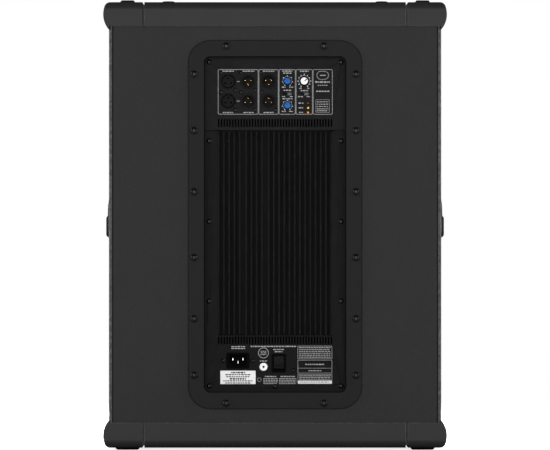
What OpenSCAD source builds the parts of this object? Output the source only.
// Powered subwoofer, 15-inch class, stage type.
// Millimetres, +Z up, rear (amplifier side) towards -Y, grille towards +Y,
// origin on the floor under the middle of the box.

/* [Overall] */
// Width across the bulging end runners
width = 470.4; // [440:0.2:520]
// Depth from amplifier screw heads to grille screw heads
depth = 560; // [500:1:640]
// Height of the cap tops, without the stacking pegs
cap_top = 613; // [580:1:680]
// Free height under the bottom cap
foot_height = 3.2; // [2:0.1:12]

/* [Cabinet] */
// Thickness of the wooden boards
board = 15; // [12:0.5:19]
// Thickness of the front baffle
baffle = 18; // [15:0.5:25]
// Side board lip that covers the rear board's edge
lip = 4.7; // [3:0.1:8]
// How far the runners bulge past the side boards
bulge = 7.8; // [4:0.1:12]
// Height of the top cap band
top_band = 33; // [25:0.5:50]
// Height of the bottom cap band
bottom_band = 34.3; // [25:0.5:50]
// Skin of the moulded caps
skin = 4; // [2.5:0.1:6]
// Rounding of the caps' outer long edges
cap_round = 11; // [4:0.5:14]
// Groove between a cap and its runners
groove = 2.6; // [1:0.1:4]
// Depth of that groove
groove_depth = 3.4; // [2:0.1:5]
// Width of each end runner at the groove
runner = 46; // [35:0.5:60]

/* [Amplifier panel] */
// Outer width of the amplifier frame
frame_w = 237.2; // [200:0.2:280]
// Outer height of the amplifier frame
frame_h = 503.5; // [420:0.5:520]
// Width of the frame's rim
rim = 21.5; // [15:0.5:30]
// Recess from the frame face to the plates
recess = 20; // [12:0.5:30]
// Height of the connector panel
upper_h = 101.2; // [90:0.2:140]
// Thickness of the plates
plate = 3; // [2:0.1:4]
// Depth of the heat sink fins
fin_depth = 34; // [20:1:45]
// Thickness of a fin
fin_t = 1.4; // [1:0.1:3]
// Spacing of the fins
fin_pitch = 7.13; // [5:0.01:10]
// Number of slots in a vent row
vents = 41; // [20:1:60]
// Spacing of the vent slots
vent_pitch = 3.86; // [3:0.01:6]

/* [Drive unit] */
// Outer radius of the woofer basket
woofer_r = 194; // [180:1:198]
// Travel of the cone each way
excursion = 8; // [4:0.5:12]
// Inner radius of the port tubes
port_r = 48; // [30:1:52]
// Inner radius of the pole socket
pole_r = 17.9; // [17.6:0.05:18.2]

/* [Controls] */
// Travel of the slide switch levers
slide_travel = 5; // [3:0.1:7]
// Travel of the breaker button
breaker_travel = 2.5; // [1:0.1:4]
// Swing of the mains rocker either way
rocker_swing = 9; // [5:0.5:12]

/* [Hidden] */
$fn = 64;

hw = width / 2 - bulge;            // half width of the wooden body
rear_y = -depth / 2 + 5.5;         // rear board's outer face
cap_y = depth / 2 - 3.5;           // end faces of the caps, front and rear
frame_y = -depth / 2 + 2;          // amplifier frame's face
low_y = frame_y + recess;          // power panel's face
up_y = low_y - 1;                  // connector panel's face, one step proud
edge_y = depth / 2 - 18;           // front edges of the side boards
seam_b = foot_height + bottom_band;
seam_t = cap_top - top_band;
groove_x = width / 2 - bulge - runner;
mid_z = (seam_b + seam_t) / 2;
baffle_y = depth / 2 - 34;         // front face of the baffle
woofer_z = seam_t - board - woofer_r - 6;
port_x = 150;
port_z = 112;
frame_z = 308.45;                  // centre of the amplifier frame
open_w = frame_w - 2 * rim + 0.8;  // opening of the frame
open_top = 538.9;
open_bot = 78.5;
open_h = open_top - open_bot;
open_z = (open_top + open_bot) / 2;
split_z = open_top - upper_h;
handle_z = 296;
handle_h = 114;
handle_d = 192;
grip_z = 306;
peg_x = 202.1;
peg_y = 226;
pad_x = 146;
black = [0.09, 0.09, 0.1];
wood = [0.2, 0.2, 0.21];
steel = [0.6, 0.6, 0.62];

frame_screw_x = 110.8;
frame_screw_rows = [514.3, 437.1, 353.4, 263.4, 179.7, 102.4];
frame_screw_ends = [552.8, 64.1];
frame_end_x = 66.9;
plate_screw_x = 90.2;
plate_screw_rows = [531.1, 423.2, 312.7, 203.8, 87.6];
socket_x = [-64.1, -37, -8.8];
socket_z = [504.4, 477.6];
socket_screw = [9.7, 12];
knob_level = [40, 505.1];
knob_boost = [16.9, 505.1];
knob_cut = [16.9, 471.9];
slide_boost = [16.8, 487.6];
slide_phase = [39.9, 487.6];
lamp_x = 45.2;
lamp_z = [474.8, 468.4, 462.1];
inlet = [-50.9, 122.3];
switch_at = [5.1, 119];
breaker_at = [-15.8, 113.8];
earth_at = [25.1, 109.2];
slot_w = 12.4;
slot_h = 4.2;
lever_w = 5.8;
lever_x = -slot_w / 2 + 0.4 + lever_w / 2;

// ---------- helpers ----------
module rrect(w, h, r) {
  union() {
    square([w - 2 * r, h], center = true);
    square([w, h - 2 * r], center = true);
    for (x = [-1, 1], z = [-1, 1])
      translate([x * (w / 2 - r), z * (h / 2 - r)])
        circle(r);
  }
}
// a drawing in x and z, spread from y0 to y1
module along_y(y0, y1) {
  translate([0, y1, 0])
    rotate([90, 0, 0])
      linear_extrude(y1 - y0)
        children();
}
// a drawing in y and z, spread from x0 to x1
module along_x(x0, x1) {
  translate([x0, 0, 0])
    rotate([90, 0, 90])
      linear_extrude(x1 - x0)
        children();
}
module ycyl(x, z, y0, y1, r) {
  translate([x, y0, z])
    rotate([-90, 0, 0])
      cylinder(h = y1 - y0, r = r);
}
module xcyl(y, z, x0, x1, r) {
  translate([x0, y, z])
    rotate([0, 90, 0])
      cylinder(h = x1 - x0, r = r);
}
module block(x0, x1, y0, y1, z0, z1) {
  translate([x0, y0, z0])
    cube([x1 - x0, y1 - y0, z1 - z0]);
}
module both_sides() {
  children();
  mirror([1, 0, 0])
    children();
}
// a pan-head screw along +Y, its head ending at y = 0 of the call
module pan_screw(r, h, shank, len) {
  rotate([-90, 0, 0]) {
    difference() {
      rotate_extrude()
        polygon([[0, -h], [r * 0.62, -h], [r * 0.9, -h * 0.66], [r, -h * 0.3], [r, 0], [0, 0]]);
      translate([-r * 0.55, -r * 0.11, -h - 0.1])
        cube([r * 1.1, r * 0.22, h * 0.6 + 0.1]);
      translate([-r * 0.11, -r * 0.55, -h - 0.1])
        cube([r * 0.22, r * 1.1, h * 0.6 + 0.1]);
    }
    cylinder(h = len, r = shank);
  }
}
// revolved about the woofer's axis: drawing in radius and y
module about_woofer() {
  translate([0, 0, woofer_z])
    rotate([-90, 0, 0])
      rotate_extrude()
        children();
}

// ---------- cabinet ----------
module side_solid() {
  difference() {
    block(hw - board, hw, rear_y, edge_y, seam_b, seam_t);
    block(hw - board - 1, hw - lip, rear_y - 1, rear_y + board, seam_b - 1, seam_t + 1);
    // rounded outer rear edge
    translate([0, 0, seam_b - 1])
      linear_extrude(seam_t - seam_b + 2)
        difference() {
          translate([hw - 4, rear_y - 1])
            square([5, 5]);
          translate([hw - 4, rear_y + 4])
            circle(4);
        }
    // seat and opening for the handle
    along_x(hw - 2.5, hw + 1)
      translate([0, handle_z])
        rrect(handle_d + 0.6, handle_h + 0.6, 14.3);
    along_x(hw - board - 1, hw)
      translate([0, handle_z - 4])
        rrect(158, 98, 10);
    for (y = [-1, 1], z = [-1, 1])
      xcyl(y * 87.5, handle_z + z * 49, hw - board - 1, hw, 1.9);
    for (z = [0 : 4])
      ycyl(hw - 7.5, seam_b + 20 + z * (seam_t - seam_b - 40) / 4, edge_y - 12, edge_y + 1, 1.9);
  }
}
module right_side_board() {
  color(wood)
    side_solid();
}
module left_side_board() {
  color(wood)
    mirror([1, 0, 0])
      side_solid();
}
module rear_board() {
  hx = hw - lip - 0.3;
  color(wood)
    difference() {
      block(-hx, hx, rear_y, rear_y + board, seam_b, seam_t);
      both_sides()
        translate([0, 0, seam_b - 1])
          linear_extrude(seam_t - seam_b + 2)
            difference() {
              translate([hx - 2, rear_y - 1])
                square([3, 3]);
              translate([hx - 2, rear_y + 2])
                circle(2);
            }
      along_y(rear_y - 1, rear_y + board + 1)
        translate([0, open_z])
          rrect(208, open_h + 14, 12);
      for (p = frame_screw_points())
        ycyl(p[0], p[1], rear_y - 1, rear_y + board + 1, 1.9);
    }
}
module top_board() {
  color(wood)
    difference() {
      block(-hw + board, hw - board, rear_y + board, edge_y, seam_t - board, seam_t);
      translate([0, 0, seam_t - board - 1])
        cylinder(h = board + 2, r = 21);
    }
}
module bottom_board() {
  color(wood)
    block(-hw + board, hw - board, rear_y + board, edge_y, seam_b, seam_b + board);
}
module front_baffle() {
  color(wood)
    difference() {
      block(-hw + board, hw - board, baffle_y - baffle, baffle_y, seam_b + board, seam_t - board);
      ycyl(0, woofer_z, baffle_y - baffle - 1, baffle_y + 1, 176.5);
      both_sides()
        ycyl(port_x, port_z, baffle_y - baffle - 1, baffle_y + 1, port_r + 3.2);
      for (a = [0 : 7])
        ycyl(185 * cos(a * 45 + 22.5), woofer_z + 185 * sin(a * 45 + 22.5),
          baffle_y - baffle - 1, baffle_y + 1, 2.4);
    }
}
module window_brace() {
  color(wood)
    difference() {
      block(-hw + board, hw - board, -130, -115, seam_b + board, seam_t - board);
      along_y(-131, -114)
        translate([0, mid_z])
          rrect(290, 400, 60);
    }
}

// ---------- caps, runners, feet ----------
// outline in y and z of the top cap, rounded at its two upper edges
module cap_outline(inset) {
  r = cap_round - inset * 0.999;
  y1 = cap_y - inset;
  z1 = cap_top - inset;
  z0 = seam_t - (inset > 0 ? 1 : 0);
  union() {
    translate([-y1, z0])
      square([2 * y1, z1 - r - z0]);
    translate([-y1 + r, z0])
      square([2 * (y1 - r), z1 - z0]);
    for (s = [-1, 1])
      translate([s * (y1 - r), z1 - r])
        circle(r);
  }
}
module turned_to_bottom() {
  // the bottom cap is the top cap turned over, a little taller
  translate([0, 0, foot_height + cap_top])
    mirror([0, 0, 1])
      children();
}
module cap_solid(extra) {
  difference() {
    union() {
      along_x(-groove_x + groove, groove_x - groove)
        cap_outline(0);
      intersection() {
        along_x(-groove_x + 0.3, groove_x - 0.3)
          cap_outline(0);
        block(-groove_x, groove_x, -cap_y + groove_depth, cap_y - groove_depth, seam_t,
          cap_top - groove_depth);
      }
      if (extra > 0)
        block(-groove_x + 0.3, groove_x - 0.3, -cap_y + groove_depth, cap_y - groove_depth,
          seam_t - extra, seam_t + 0.01);
      if (extra > 0)
        block(-groove_x + groove, groove_x - groove, -cap_y, cap_y, seam_t - extra, seam_t + 0.01);
    }
    // hollow underneath, in bays between ribs
    for (x = [0 : 5], y = [0 : 7])
      block(-groove_x + skin + x * bay_x(), -groove_x + skin + x * bay_x() + bay_x() - 3,
        -cap_y + skin + y * bay_y(), min(-cap_y + skin + y * bay_y() + bay_y() - 3, baffle_y - 4),
        seam_t - extra - 1, (y == 0 || y == 7) ? cap_top - 9 : cap_top - skin);
  }
}
function bay_x() = (2 * groove_x - 2 * skin + 3) / 6;
function bay_y() = (2 * cap_y - 2 * skin + 3) / 8;
module top_cap() {
  color(black)
    difference() {
      union() {
        cap_solid(0);
        translate([0, 0, seam_t])
          cylinder(h = top_band - 3.5, r = 46);
      }
      translate([0, 0, seam_t - 1])
        cylinder(h = top_band + 2, r = 21);
      translate([0, 0, cap_top - 3.5])
        cylinder(h = 5, r = 42.5);
      for (a = [45 : 90 : 315])
        rotate([0, 0, a])
          translate([32, 0, seam_t - 1])
            cylinder(h = top_band, r = 2);
      for (x = [-1, 1], y = [-1, 1])
        translate([x * pad_x, y * peg_y, cap_top - 3])
          cylinder(h = 4, r = 3);
    }
}
module bottom_cap() {
  color(black)
    turned_to_bottom()
      cap_solid(bottom_band - top_band);
}
// section in x and z of a top runner: flat top, bulging outer side, lobe over the side board
module runner_section(extra, inset) {
  r = 32.2 - inset;
  cx = width / 2 - 32.2;
  cz = cap_top - 16.7;
  rs = 8 - inset * 0.9;
  difference() {
    union() {
      intersection() {
        translate([cx, cz])
          circle(r);
        translate([cx - 12, seam_t - 9])
          square([60, cap_top - seam_t + 9 - 5.12]);
      }
      translate([cx + 22.58, cap_top - 8])
        circle(rs);
      translate([groove_x + inset, seam_t - extra + (inset > 0 ? -1 : 0)])
        square([cx + 22.58 - groove_x - inset, cap_top - inset - seam_t + extra + (inset > 0 ? 1 : 0)]);
    }
    // the body's corner
    translate([0, seam_t - extra - 20])
      square([hw + (inset > 0 ? skin : 0) - (inset > 0 ? 2 * skin : 0), 20]);
    if (inset == 0)
      translate([groove_x - 10, seam_t - extra - 20])
        square([hw - groove_x + 10, 20]);
  }
}
module runner_solid(extra) {
  difference() {
    intersection() {
      along_y(-cap_y, cap_y)
        runner_section(extra, 0);
      along_x(groove_x - 5, width / 2 + 5)
        union() {
          cap_outline(0);
          translate([-cap_y, seam_t - 30])
            square([2 * cap_y, 40]);
        }
    }
    // hollow, in bays between ribs
    for (y = [0 : 7])
      block(groove_x + skin, hw - skin,
        -cap_y + skin + y * bay_y(), min(-cap_y + skin + y * bay_y() + bay_y() - 3, edge_y - 4),
        seam_t - extra - 1, (y == 0 || y == 7) ? cap_top - 9 : cap_top - skin);
  }
}
module top_runner_solid() {
  difference() {
    runner_solid(0);
    for (y = [-1, 1])
      translate([peg_x, y * peg_y, cap_top - 3])
        cylinder(h = 4, r = 5);
  }
}
module bottom_runner_solid() {
  difference() {
    turned_to_bottom()
      runner_solid(bottom_band - top_band);
    for (y = [-1, 1])
      translate([peg_x, y * peg_y, foot_height - 1])
        cylinder(h = 4, r = 10);
  }
}
module top_right_runner() {
  color(black)
    top_runner_solid();
}
module top_left_runner() {
  color(black)
    mirror([1, 0, 0])
      top_runner_solid();
}
module bottom_right_runner() {
  color(black)
    bottom_runner_solid();
}
module bottom_left_runner() {
  color(black)
    mirror([1, 0, 0])
      bottom_runner_solid();
}
module rubber_feet() {
  color([0.06, 0.06, 0.06])
    for (x = [-1, 1], y = [-1, 1])
      translate([x * peg_x, y * peg_y, 0])
        rotate_extrude()
          polygon([[0, 0], [13.6, 0], [15.2, 0.6], [16.35, 2.2], [16.35, foot_height],
            [10, foot_height], [10, foot_height + 2.9], [0, foot_height + 2.9]]);
}
module stacking_pegs() {
  color([0.06, 0.06, 0.06])
    for (x = [-1, 1], y = [-1, 1])
      translate([x * peg_x, y * peg_y, cap_top])
        rotate_extrude()
          polygon([[0, -3], [5, -3], [5, 0], [10.4, 0], [9.1, 2.2], [8.4, 2.85], [7.6, 3], [0, 3]]);
}
module top_pads() {
  color([0.06, 0.06, 0.06])
    for (x = [-1, 1], y = [-1, 1])
      translate([x * pad_x, y * peg_y, cap_top])
        rotate_extrude()
          polygon([[0, -3], [3, -3], [3, 0], [8.4, 0], [8, 0.9], [6.6, 1.5], [3, 1.7], [0, 1.7]]);
}

// ---------- handles ----------
module handle_solid() {
  difference() {
    union() {
      along_x(hw - 2.5, hw)
        translate([0, handle_z])
          rrect(handle_d, handle_h, 14);
      // raised swell of the flange
      intersection() {
        along_y(-handle_d / 2 + 6, handle_d / 2 - 6)
          polygon([[hw - 1, 280], [hw, 280], [hw + 1.9, 290], [hw + 3.1, 305], [hw + 3.4, 318],
            [hw + 2.9, 334], [hw + 1.5, 346], [hw, 352.6], [hw - 1, 352.6]]);
        along_x(hw - 1, hw + 5)
          translate([0, handle_z])
            rrect(handle_d - 12, handle_h, 14);
      }
      along_x(hw - 56, hw - 2)
        translate([0, handle_z - 4])
          rrect(156, 96, 9);
    }
    along_x(hw - 53, hw + 5)
      translate([0, handle_z - 4])
        rrect(150, 90, 7);
    for (y = [-1, 1], z = [-1, 1]) {
      xcyl(y * 87.5, handle_z + z * 49, hw - 3, hw + 1, 1.95);
      xcyl(y * 87.5, handle_z + z * 49, hw - 1.6, hw + 5, 3.7);
    }
  }
}
module right_handle() {
  color(black)
    handle_solid();
}
module left_handle() {
  color(black)
    mirror([1, 0, 0])
      handle_solid();
}
module handle_grips() {
  color([0.07, 0.07, 0.07])
    both_sides()
      along_y(-75, 75)
        translate([hw - 3.5, grip_z])
          rrect(18, 30.2, 4.5);
}

// ---------- pole socket ----------
module pole_socket() {
  color([0.12, 0.12, 0.13])
    difference() {
      union() {
        translate([0, 0, cap_top - 3.5])
          cylinder(h = 3, r = 42);
        translate([0, 0, cap_top - 90])
          cylinder(h = 89.5, r = 20.5);
      }
      translate([0, 0, cap_top - 86.5])
        cylinder(h = 88, r = pole_r);
      for (a = [45 : 90 : 315])
        rotate([0, 0, a])
          translate([32, 0, cap_top - 4])
            cylinder(h = 5, r = 2.1);
    }
}

// ---------- cabinet screws ----------
module cabinet_screws() {
  color([0.15, 0.15, 0.15]) {
    // handles
    both_sides()
      for (y = [-1, 1], z = [-1, 1]) {
        xcyl(y * 87.5, handle_z + z * 49, hw - 1.6, hw - 0.2, 3.5);
        xcyl(y * 87.5, handle_z + z * 49, hw - board + 1, hw - 0.2, 1.85);
      }
    // pole socket
    for (a = [45 : 90 : 315])
      rotate([0, 0, a])
        translate([32, 0, cap_top - 0.5])
          rotate([90, 0, 0])
            mirror([0, 1, 0])
              pan_screw(3.6, 0.45, 1.9, 25);
    // woofer
    for (a = [0 : 7])
      translate([185 * cos(a * 45 + 22.5), baffle_y + 9, woofer_z + 185 * sin(a * 45 + 22.5)])
        mirror([0, 1, 0])
          pan_screw(5, 3, 2.35, 24);
    // grille
    both_sides()
      for (z = [0 : 4])
        translate([hw - 7.5, depth / 2 - 16.5, seam_b + 20 + z * (seam_t - seam_b - 40) / 4])
          mirror([0, 1, 0])
            pan_screw(4.2, 2, 1.85, 12);
  }
}

// ---------- grille ----------
grille_inner = [[196, depth / 2 - 1.5], [209, depth / 2 - 18], [hw - 1.5, depth / 2 - 18]];
grille_outer = [[hw - 1.5, depth / 2 - 16.5], [209.8, depth / 2 - 16.5], [196.8, depth / 2]];
function flipped(pts) = [for (i = [len(pts) - 1 : -1 : 0]) [-pts[i][0], pts[i][1]]];
module front_grille() {
  color([0.12, 0.12, 0.12])
    difference() {
      translate([0, 0, seam_b + 0.5])
        linear_extrude(seam_t - seam_b - 1)
          polygon(concat(grille_inner, grille_outer, flipped(grille_outer), flipped(grille_inner)));
      both_sides()
        for (z = [0 : 4])
          ycyl(hw - 7.5, seam_b + 20 + z * (seam_t - seam_b - 40) / 4, edge_y - 1, depth / 2, 1.95);
      // large perforations stand for the fine ones
      for (x = [-6 : 6], z = [0 : 21])
        translate([x * 27 + (z % 2) * 13.5 - 6.75, depth / 2 - 3, seam_b + 25.5 + z * 23.4])
          rotate([-90, 0, 0])
            cylinder(h = 4, r = 11, $fn = 6);
    }
}
module grille_foam() {
  color([0.05, 0.05, 0.05])
    block(-190, 190, depth / 2 - 7.5, depth / 2 - 1.5, seam_b + 3, seam_t - 3);
}

// ---------- woofer ----------
by = baffle_y;
module woofer_basket() {
  color(black)
    difference() {
      union() {
        about_woofer()
          polygon([[168, by + 3], [170, by], [176, by], [woofer_r, by], [woofer_r, by + 6],
            [181.8, by + 6], [181.8, by + 3]]);
        about_woofer()
          polygon([[170, by + 3], [176, by + 3], [176, by - 22], [104, by - 96], [104, by - 103],
            [86, by - 103], [86, by - 97], [97, by - 97], [170, by - 22]]);
      }
      for (a = [0 : 7])
        translate([0, 0, woofer_z])
          rotate([0, a * 45, 0])
            block(-24, 24, by - 88, by - 30, 100, 200);
      for (a = [0 : 7])
        ycyl(185 * cos(a * 45 + 22.5), woofer_z + 185 * sin(a * 45 + 22.5), by - 1, by + 8, 2.4);
    }
}
module woofer_gasket() {
  color([0.1, 0.1, 0.1])
    difference() {
      about_woofer()
        translate([181.5, by + 6])
          square([12, 3]);
      for (a = [0 : 7])
        ycyl(185 * cos(a * 45 + 22.5), woofer_z + 185 * sin(a * 45 + 22.5), by, by + 10, 2.45);
    }
}
module pole_plates() {
  color(steel) {
    about_woofer()
      translate([40.4, by - 111])
        square([61.6, 8]);
    about_woofer()
      polygon([[0, by - 145], [96, by - 145], [102, by - 136], [37, by - 136], [37, by - 102],
        [0, by - 102]]);
  }
}
module woofer_magnet() {
  color([0.2, 0.2, 0.2])
    about_woofer()
      translate([56, by - 136])
        square([54, 25]);
}
module voice_coil() {
  color([0.72, 0.42, 0.2])
    about_woofer()
      polygon([[37.9, by - 124], [39.5, by - 124], [39.5, by - 100], [38.6, by - 100],
        [38.6, by - 79.3], [37.9, by - 79.3]]);
}
module woofer_cone() {
  color([0.1, 0.1, 0.1])
    about_woofer()
      polygon([[38.7, by - 82], [40.5, by - 82], [158, by + 1.5], [161, by + 1.5],
        [161, by + 3], [157, by + 3], [38.7, by - 79.4]]);
}
cap_steps = 10;
module dust_cap() {
  color([0.1, 0.1, 0.1])
    about_woofer()
      polygon(concat(
        [for (i = [0 : cap_steps]) let (a = 36.5 * i / cap_steps)
          [102 * sin(a), by - 145.9 + 102 * cos(a)]],
        [for (i = [cap_steps : -1 : 0]) let (a = 35.3 * i / cap_steps)
          [100.5 * sin(a), by - 145.9 + 100.5 * cos(a)]]));
}
module surround() {
  color([0.07, 0.07, 0.07])
    about_woofer()
      difference() {
        union() {
          translate([157.5, by + 3.1])
            square([4.5, 1.3]);
          translate([178, by + 3.1])
            square([3.3, 1.3]);
          intersection() {
            translate([169.7, by + 3.1])
              circle(8.7);
            translate([150, by + 3.1])
              square([40, 20]);
          }
        }
        translate([169.7, by + 3.1])
          circle(7.5);
      }
}
module spider() {
  color([0.75, 0.6, 0.3])
    about_woofer()
      union() {
        translate([38.7, by - 97])
          square([6, 1]);
        for (i = [0 : 4]) {
          translate([44.7 + i * 8, by - 97])
            polygon([[0, 0], [2, 3], [4, 0], [6, -3], [8, 0], [8, 1], [6, -1.8], [4, 1.1], [2, 4.2], [0, 1]]);
        }
        translate([84.7, by - 97])
          square([6, 1]);
      }
}
module woofer_terminals() {
  color([0.7, 0.6, 0.3]) {
    block(-14, 14, by - 110, by - 103, woofer_z + 102.1, woofer_z + 132);
  }
}
module port_tubes() {
  color([0.08, 0.08, 0.08])
    both_sides()
      translate([port_x, 0, port_z])
        rotate([-90, 0, 0])
          rotate_extrude()
            polygon([[port_r, by - 150], [port_r + 2.8, by - 150], [port_r + 2.8, by],
              [port_r + 10, by], [port_r + 10, by + 2], [port_r + 6, by + 3.2],
              [port_r + 2.4, by + 1.6], [port_r + 0.6, by - 2], [port_r, by - 7]]);
}

// ---------- amplifier ----------
function frame_screw_points() = [
  for (s = [-1, 1], z = frame_screw_rows) [s * frame_screw_x, z],
  for (s = [-1, 1], z = frame_screw_ends) [s * frame_end_x, z]
];
function plate_screw_points() = [
  for (s = [-1, 1], z = plate_screw_rows) [s * plate_screw_x, z],
  [0, 87.2]
];
module amp_frame() {
  color([0.11, 0.11, 0.12])
    difference() {
      union() {
        // flange with a stepped rounded edge
        along_y(rear_y - 2.5, rear_y)
          translate([0, frame_z])
            rrect(frame_w, frame_h, 30.4);
        along_y(frame_y, rear_y - 2.5)
          translate([0, frame_z])
            rrect(frame_w - 1.6, frame_h - 1.6, 29.6);
        along_y(rear_y, low_y + plate + 4)
          translate([0, open_z])
            rrect(open_w + 7, open_h + 7, 12);
      }
      along_y(frame_y - 1, low_y + plate)
        translate([0, open_z])
          rrect(open_w, open_h, 9);
      along_y(low_y + 1, low_y + plate + 5)
        translate([0, open_z])
          rrect(open_w - 28, open_h - 18, 6);
      for (p = frame_screw_points())
        ycyl(p[0], p[1], frame_y - 1, rear_y + 1, 2.2);
      for (p = plate_screw_points())
        ycyl(p[0], p[1], low_y, low_y + plate + 5, 1.65);
    }
  // packing step that carries the connector panel one millimetre proud
  color([0.11, 0.11, 0.12])
    both_sides()
      difference() {
        block(open_w / 2 - 14, open_w / 2 - 0.01, up_y + plate, low_y + plate + 0.01, split_z + 3, open_top - 9);
        for (p = plate_screw_points())
          ycyl(p[0], p[1], low_y, low_y + plate + 5, 1.65);
      }
}
module amp_frame_screws() {
  color([0.16, 0.16, 0.17])
    for (p = frame_screw_points())
      translate([p[0], frame_y, p[1]])
        pan_screw(4.6, 2, 1.85, 17);
}
module vent_row(y0, y1, z0, z1) {
  for (i = [0 : vents - 1])
    translate([(i - (vents - 1) / 2) * vent_pitch, 0, 0]) {
      block(-1, 1, y0, y1, z0 + 1, z1 - 1);
      ycyl(0, z0 + 1, y0, y1, 1);
      ycyl(0, z1 - 1, y0, y1, 1);
    }
}
module connector_panel() {
  color([0.13, 0.13, 0.14])
    difference() {
      along_y(up_y, up_y + plate)
        difference() {
          translate([0, open_z])
            rrect(open_w - 2, open_h - 2, 8);
          translate([-150, 0])
            square([300, split_z + 0.1]);
        }
      vent_row(up_y - 1, up_y + plate + 1, 442.4, 452.9);
      for (x = socket_x, z = socket_z) {
        ycyl(x, z, up_y - 1, up_y + plate + 1, 10.6);
        ycyl(x - socket_screw[0], z + socket_screw[1], up_y - 1, up_y + plate + 1, 1.3);
        ycyl(x + socket_screw[0], z - socket_screw[1], up_y - 1, up_y + plate + 1, 1.3);
      }
      for (p = [knob_level, knob_boost, knob_cut])
        ycyl(p[0], p[1], up_y - 1, up_y + plate + 1, 3.8);
      for (p = [slide_boost, slide_phase])
        block(p[0] - slot_w / 2, p[0] + slot_w / 2, up_y - 1, up_y + plate + 1,
          p[1] - slot_h / 2, p[1] + slot_h / 2);
      for (z = lamp_z)
        ycyl(lamp_x, z, up_y - 1, up_y + plate + 1, 1.6);
      for (p = plate_screw_points())
        ycyl(p[0], p[1], up_y - 1, up_y + plate + 1, 1.7);
    }
}
module power_panel() {
  color([0.11, 0.11, 0.12])
    difference() {
      along_y(low_y, low_y + plate)
        difference() {
          translate([0, open_z])
            rrect(open_w - 2, open_h - 2, 8);
          translate([-150, split_z - 1.5])
            square([300, 300]);
        }
      vent_row(low_y - 1, low_y + plate + 1, 145, 155);
      block(-78.3, 77.8, low_y - 1, low_y + plate + 1, 157, split_z);
      along_y(low_y - 1, low_y + plate + 1)
        translate(inlet)
          rrect(31.6, 21.8, 3.2);
      for (s = [-1, 1])
        ycyl(inlet[0] + s * 20, inlet[1], low_y - 1, low_y + plate + 1, 1.7);
      ycyl(breaker_at[0], breaker_at[1], low_y - 1, low_y + plate + 1, 7.2);
      block(switch_at[0] - 8.6, switch_at[0] + 8.6, low_y - 1, low_y + plate + 1,
        switch_at[1] - 11.4, switch_at[1] + 11.4);
      ycyl(earth_at[0], earth_at[1], low_y - 1, low_y + plate + 1, 1.9);
      for (p = plate_screw_points())
        ycyl(p[0], p[1], low_y - 1, low_y + plate + 1, 1.7);
    }
}
module panel_screws() {
  color([0.2, 0.2, 0.21]) {
    for (p = plate_screw_points())
      translate([p[0], p[1] > split_z ? up_y : low_y, p[1]])
        pan_screw(3.65, 1.9, 1.6, p[1] > split_z ? 7.9 : 6.9);
    for (x = socket_x, z = socket_z)
      for (s = [-1, 1])
        translate([x - s * socket_screw[0], up_y, z + s * socket_screw[1]])
          pan_screw(2.6, 1.5, 1.25, 4.9);
    for (s = [-1, 1])
      translate([inlet[0] + s * 20, low_y, inlet[1]])
        pan_screw(3, 1.6, 1.6, 5.9);
    translate([earth_at[0], low_y, earth_at[1]])
      pan_screw(2.9, 1.6, 1.8, 8);
  }
}
fin_starts = [[-77.3, 5], [-39.6, 4], [-8.8, 13]];
module heat_sink() {
  color([0.14, 0.14, 0.15]) {
    both_sides()
      block(80.5, 83.2, low_y + plate, low_y + 7 + fin_depth, 150, 442);
    block(-83.2, 83.2, low_y + 0.6 + fin_depth, low_y + 7 + fin_depth, 150, 442);
    for (g = fin_starts)
      for (i = [0 : g[1] - 1])
        block(g[0] + i * fin_pitch - fin_t / 2, g[0] + i * fin_pitch + fin_t / 2,
          low_y + 0.6, low_y + 0.61 + fin_depth, 158, 434.8);
  }
}
module amp_cover() {
  y0 = low_y + plate + 4;
  y1 = -150;
  color([0.55, 0.56, 0.58]) {
    for (x = [-1, 1], z = [100, 309, 518])
      ycyl(x * 84, z, -206.4, y1 - 1, 3);
    difference() {
      block(-99.5, 99.5, y0, y1, open_bot - 2.5, open_top + 2.5);
      block(-98, 98, y0 - 1, y1 - 1.5, open_bot - 1, open_top + 1);
      ycyl(0, 488, y1 - 3, y1 + 1, 3.4);
      // ventilation slots in the top and bottom of the cover
      for (x = [-6 : 6], z = [open_bot - 3, open_top])
        block(x * 12 - 2, x * 12 + 2, y0 + 20, y1 - 20, z - 1, z + 4);
    }
  }
}
module amp_board() {
  color([0.1, 0.3, 0.16])
    difference() {
      block(-92, 92, -208, -206.4, 92, 526);
      for (x = [-1, 1], z = [100, 309, 518])
        ycyl(x * 84, z, -209, -205, 1.7);
    }
}
module power_transformer() {
  color([0.7, 0.55, 0.2])
    translate([38, -206.4, 152])
      rotate([-90, 0, 0])
        difference() {
          cylinder(h = 44, r = 46);
          translate([0, 0, -1])
            cylinder(h = 46, r = 14);
        }
}
module amp_components() {
  // reservoir capacitors
  color([0.1, 0.12, 0.3])
    for (x = [-70, -28], z = [150, 195, 240])
      ycyl(x, z, -206.4, -160, 17);
  // output transistors on the heat sink
  color([0.08, 0.08, 0.08])
    for (x = [-3 : 3])
      block(x * 23 - 8, x * 23 + 8, low_y + 7 + fin_depth, low_y + 12 + fin_depth, 330, 351);
  // chokes and driver parts
  color([0.35, 0.2, 0.1])
    for (x = [-60, 0, 60])
      block(x - 15, x + 15, -206.4, -178, 380, 408);
}

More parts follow.
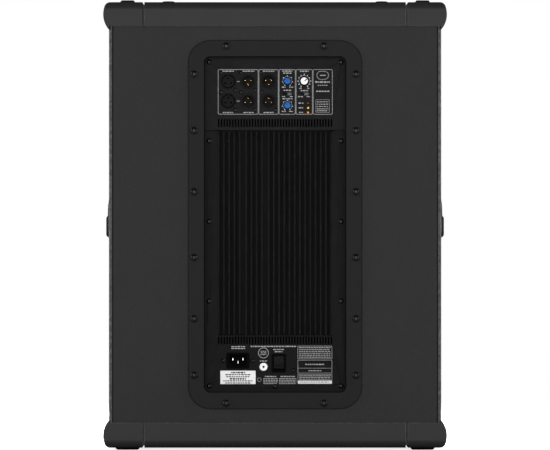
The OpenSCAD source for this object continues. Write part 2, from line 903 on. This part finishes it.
// ---------- sockets ----------
module socket_flange(x, z) {
  translate([x, 0, z])
    along_y(up_y + plate, up_y + plate + 2)
      rrect(26, 26.4, 3);
}
module socket_drill(x, z) {
  ycyl(x - socket_screw[0], z + socket_screw[1], up_y, up_y + plate + 3, 1.3);
  ycyl(x + socket_screw[0], z - socket_screw[1], up_y, up_y + plate + 3, 1.3);
}
module input_sockets() {
  color([0.1, 0.1, 0.11])
    for (z = socket_z)
      difference() {
        union() {
          socket_flange(socket_x[0], z);
          ycyl(socket_x[0], z, up_y - 0.6, up_y + 22, 10.4);
        }
        socket_drill(socket_x[0], z);
        translate([socket_x[0], up_y - 1, z])
          rotate([-90, 0, 0])
            difference() {
              cylinder(h = 15, r = 9.5);
              translate([0, 0, -1])
                cylinder(h = 17, r = 7.9);
            }
        for (h = [[-4, -2.2], [4, -2.2], [0, 4.2]])
          ycyl(socket_x[0] + h[0], z + h[1], up_y - 1, up_y + 14, 1.35);
      }
}
// the upper pair have their middle pin low, the lower pair are turned over
module output_sockets() {
  color([0.1, 0.1, 0.11])
    for (x = [socket_x[1], socket_x[2]], z = socket_z)
      difference() {
        union() {
          socket_flange(x, z);
          ycyl(x, z, up_y - 0.6, up_y + 22, 10.4);
        }
        socket_drill(x, z);
        ycyl(x, z, up_y - 1, up_y + 15.4, 8.2);
        for (h = pin_spots(z))
          ycyl(x + h[0], z + h[1], up_y + 15, up_y + 23, 1.2);
      }
}
function pin_spots(z) = z > 490 ? [[-4, 1.6], [4, 1.6], [0, -3.9]] : [[-4, -1.6], [4, -1.6], [0, 3.9]];
module contact_pins() {
  color([0.85, 0.68, 0.3]) {
    for (x = [socket_x[1], socket_x[2]], z = socket_z)
      for (h = pin_spots(z)) {
        ycyl(x + h[0], z + h[1], up_y + 2, up_y + 26, 1.2);
        translate([x + h[0], up_y + 2, z + h[1]])
          sphere(1.2);
      }
  }
  color([0.75, 0.75, 0.77])
    for (h = [[-7, 1.9], [7, 1.9], [0, -2.2]])
      block(inlet[0] + h[0] - 1, inlet[0] + h[0] + 1, low_y + (h[0] == 0 ? 1.5 : 3.5), low_y + 34,
        inlet[1] + h[1] - 2, inlet[1] + h[1] + 2);
}

// ---------- controls ----------
module control_bodies() {
  color([0.3, 0.3, 0.32]) {
    for (p = [knob_level, knob_boost, knob_cut])
      difference() {
        union() {
          block(p[0] - 5.5, p[0] + 5.5, up_y + plate, up_y + plate + 9, p[1] - 5.5, p[1] + 5.5);
          ycyl(p[0], p[1], up_y + 0.4, up_y + plate + 0.1, 3.7);
        }
        ycyl(p[0], p[1], up_y - 1, up_y + plate + 7, 2.55);
      }
    for (p = [slide_boost, slide_phase])
      difference() {
        block(p[0] - 9, p[0] + 9, up_y + plate, up_y + plate + 7, p[1] - 3.4, p[1] + 3.4);
        block(p[0] - slot_w / 2, p[0] + slot_w / 2, up_y + plate - 1, up_y + plate + 4,
          p[1] - slot_h / 2, p[1] + slot_h / 2);
      }
  }
}
// shaft and knob as one turning piece, with a flat in the crown for the pointer
module knob(p, r_skirt, r_cap, h, tone) {
  color(tone)
    difference() {
      union() {
        ycyl(p[0], p[1], up_y - h, up_y - 0.5, r_cap);
        ycyl(p[0], p[1], up_y - 3, up_y - 0.5, r_skirt);
        ycyl(p[0], p[1], up_y - 0.51, up_y + plate + 6.5, 2.5);
      }
      translate([p[0], up_y - h - 0.01, p[1]])
        rotate([0, 0, 0])
          block(-0.45, 0.45, -1, 0.6, r_cap * 0.35, r_cap + 1);
    }
}
module turned(p, a) {
  translate([p[0], 0, p[1]])
    rotate([0, a, 0])
      translate([-p[0], 0, -p[1]])
        children();
}
level_rest = 60;
boost_rest = 30;
cut_rest = -40;
module level_knob() {
  turned(knob_level, level_rest)
    knob(knob_level, 6.45, 5.05, 11, [0.85, 0.85, 0.85]);
}
module boost_frequency_knob() {
  turned(knob_boost, boost_rest)
    knob(knob_boost, 5.4, 4.4, 8, [0.2, 0.4, 0.75]);
}
module high_cut_knob() {
  turned(knob_cut, cut_rest)
    knob(knob_cut, 5.4, 4.4, 8, [0.2, 0.4, 0.75]);
}
module lever(p) {
  color([0.12, 0.12, 0.12]) {
    block(p[0] + lever_x - lever_w / 2, p[0] + lever_x + lever_w / 2, up_y - 1.5, up_y + plate + 3.7,
      p[1] - slot_h / 2 + 0.4, p[1] + slot_h / 2 - 0.4);
  }
}
module boost_slider() {
  lever(slide_boost);
}
module phase_slider() {
  lever(slide_phase);
}
module indicator_lamps() {
  color([0.8, 0.2, 0.1])
    for (z = lamp_z) {
      ycyl(lamp_x, z, up_y - 0.6, up_y + 6, 1.5);
      translate([lamp_x, up_y - 0.6, z])
        sphere(1.5);
    }
}

// ---------- mains side ----------
module inlet_mouth() {
  translate(inlet)
    polygon([[-11.65, 8.25], [11.65, 8.25], [11.65, -3.4], [6.8, -8.25], [-6.8, -8.25], [-11.65, -3.4]]);
}
module mains_inlet() {
  color([0.07, 0.07, 0.08])
    difference() {
      union() {
        along_y(low_y - 0.6, low_y + 28)
          translate(inlet)
            rrect(31.2, 21.4, 3);
        along_y(low_y + plate, low_y + plate + 2.5)
          translate(inlet)
            rrect(50, 23, 4);
      }
      along_y(low_y - 1, low_y + 17)
        inlet_mouth();
      for (s = [-1, 1])
        ycyl(inlet[0] + s * 20, inlet[1], low_y, low_y + plate + 3, 1.65);
      for (h = [[-7, 1.9], [7, 1.9], [0, -2.2]])
        block(inlet[0] + h[0] - 1, inlet[0] + h[0] + 1, low_y + 16, low_y + 29,
          inlet[1] + h[1] - 2, inlet[1] + h[1] + 2);
    }
}
module power_switch_bezel() {
  color([0.07, 0.07, 0.08])
    difference() {
      union() {
        along_y(low_y - 2, low_y)
          translate(switch_at)
            rrect(19.7, 25.5, 1.5);
        block(switch_at[0] - 8.5, switch_at[0] + 8.5, low_y - 0.01, low_y + 22,
          switch_at[1] - 11.3, switch_at[1] + 11.3);
      }
      block(switch_at[0] - 7, switch_at[0] + 7, low_y - 3, low_y + 12, switch_at[1] - 9.6, switch_at[1] + 9.6);
    }
}
rock_y = low_y + 5;
module power_rocker() {
  color([0.06, 0.06, 0.07])
    translate([switch_at[0], rock_y, switch_at[1]])
      rotate([-rocker_swing, 0, 0])
        along_x(-6.6, 6.6)
          polygon([[-5.7, 0], [-7, 8.25], [-4, 8.3], [3, 6.5], [3, -6.5], [-4, -8.3], [-7, -8.25]]);
}
module breaker_body() {
  color([0.06, 0.06, 0.07])
    difference() {
      union() {
        ycyl(breaker_at[0], breaker_at[1], low_y - 1.2, low_y + 20, 7);
        ycyl(breaker_at[0], breaker_at[1], low_y + plate, low_y + plate + 14, 9.5);
      }
      ycyl(breaker_at[0], breaker_at[1], low_y - 2, low_y + 11, 6);
    }
}
module breaker_button() {
  color([0.88, 0.88, 0.86])
    difference() {
      ycyl(breaker_at[0], breaker_at[1], low_y - 2.6, low_y + 11 - breaker_travel - 0.4, 5.6);
      ycyl(breaker_at[0], breaker_at[1], low_y - 3, low_y - 1.8, 1);
    }
}
module speaker_cable() {
  color([0.5, 0.1, 0.1])
    ycyl(0, 488, -156, by - 110, 3);
}

// ---------- what is drawn ----------
left_side_board();
right_side_board();
rear_board();
top_board();
bottom_board();
front_baffle();
window_brace();
top_cap();
bottom_cap();
top_left_runner();
top_right_runner();
bottom_left_runner();
bottom_right_runner();
rubber_feet();
stacking_pegs();
top_pads();
left_handle();
right_handle();
handle_grips();
cabinet_screws();
pole_socket();
front_grille();
grille_foam();
woofer_basket();
woofer_gasket();
woofer_magnet();
pole_plates();
woofer_cone();
dust_cap();
surround();
spider();
voice_coil();
woofer_terminals();
port_tubes();
amp_frame();
amp_frame_screws();
connector_panel();
power_panel();
panel_screws();
heat_sink();
amp_cover();
amp_board();
power_transformer();
amp_components();
input_sockets();
output_sockets();
contact_pins();
control_bodies();
level_knob();
boost_frequency_knob();
high_cut_knob();
boost_slider();
phase_slider();
indicator_lamps();
mains_inlet();
power_switch_bezel();
power_rocker();
breaker_body();
breaker_button();
speaker_cable();
